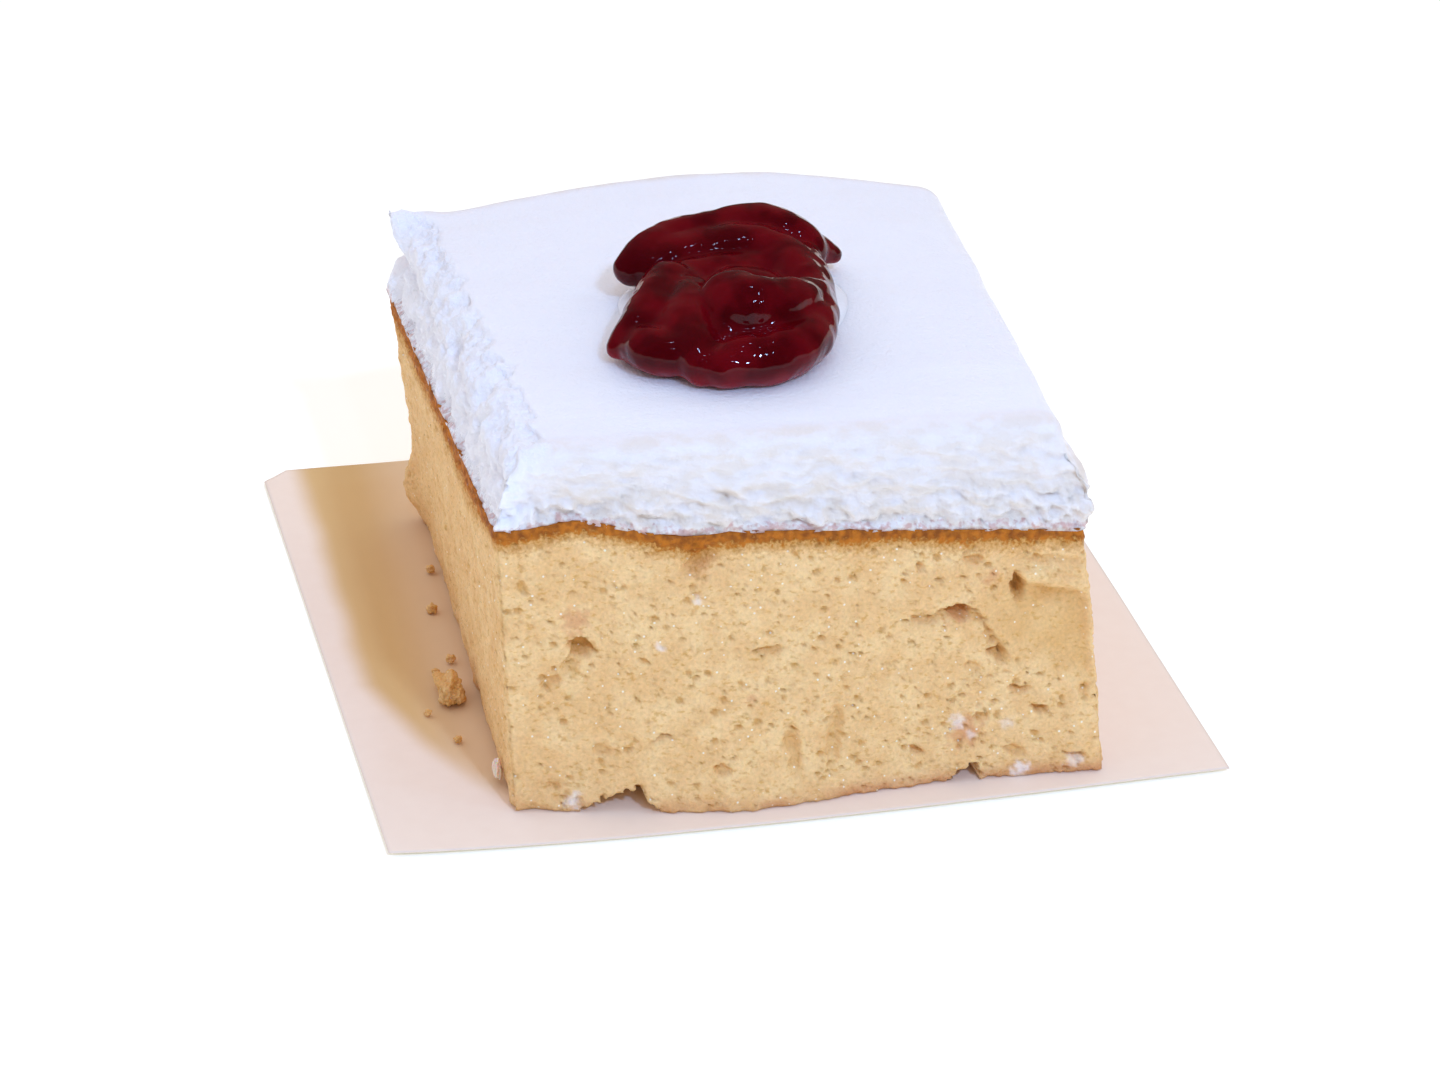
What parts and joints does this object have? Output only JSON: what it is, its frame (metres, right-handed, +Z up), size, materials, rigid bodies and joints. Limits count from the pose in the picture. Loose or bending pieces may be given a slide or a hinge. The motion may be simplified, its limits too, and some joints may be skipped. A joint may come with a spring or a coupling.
{
  "type": "milk cake",
  "caption": "Square cut portion of golden sponge with browned top skin, thick whipped cream and a spoonful of dark berry jam, on its sheet of paper",
  "frame": {"origin": "middle of the underside of the paper sheet's bounding box, on the surface it rests on", "axes": "+Z up, +X along the cut front face to the right, +Y to the back, so the cut front face looks to -Y"},
  "size_m": [0.12, 0.1174, 0.0615],
  "materials": {
    "greaseproof_paper": "thin matte greaseproof paper, faintly wavy at its edges",
    "sponge_crumb": "moist open sponge crumb with a browned top skin; stands in for food",
    "whipped_cream": "smooth spread whipped cream, torn and crumbly at the cut sides; stands in for food",
    "berry_jam": "glossy dark red jam; stands in for food"
  },
  "bodies": {
    "root": {"paper_sheet": "greaseproof_paper", "sponge": "sponge_crumb", "cream_layer": "whipped_cream", "cream_dollop": "whipped_cream", "jam": "berry_jam", "sponge_crumb_chunk": "sponge_crumb", "cream_drip": "whipped_cream"}
  },
  "joints": []
}
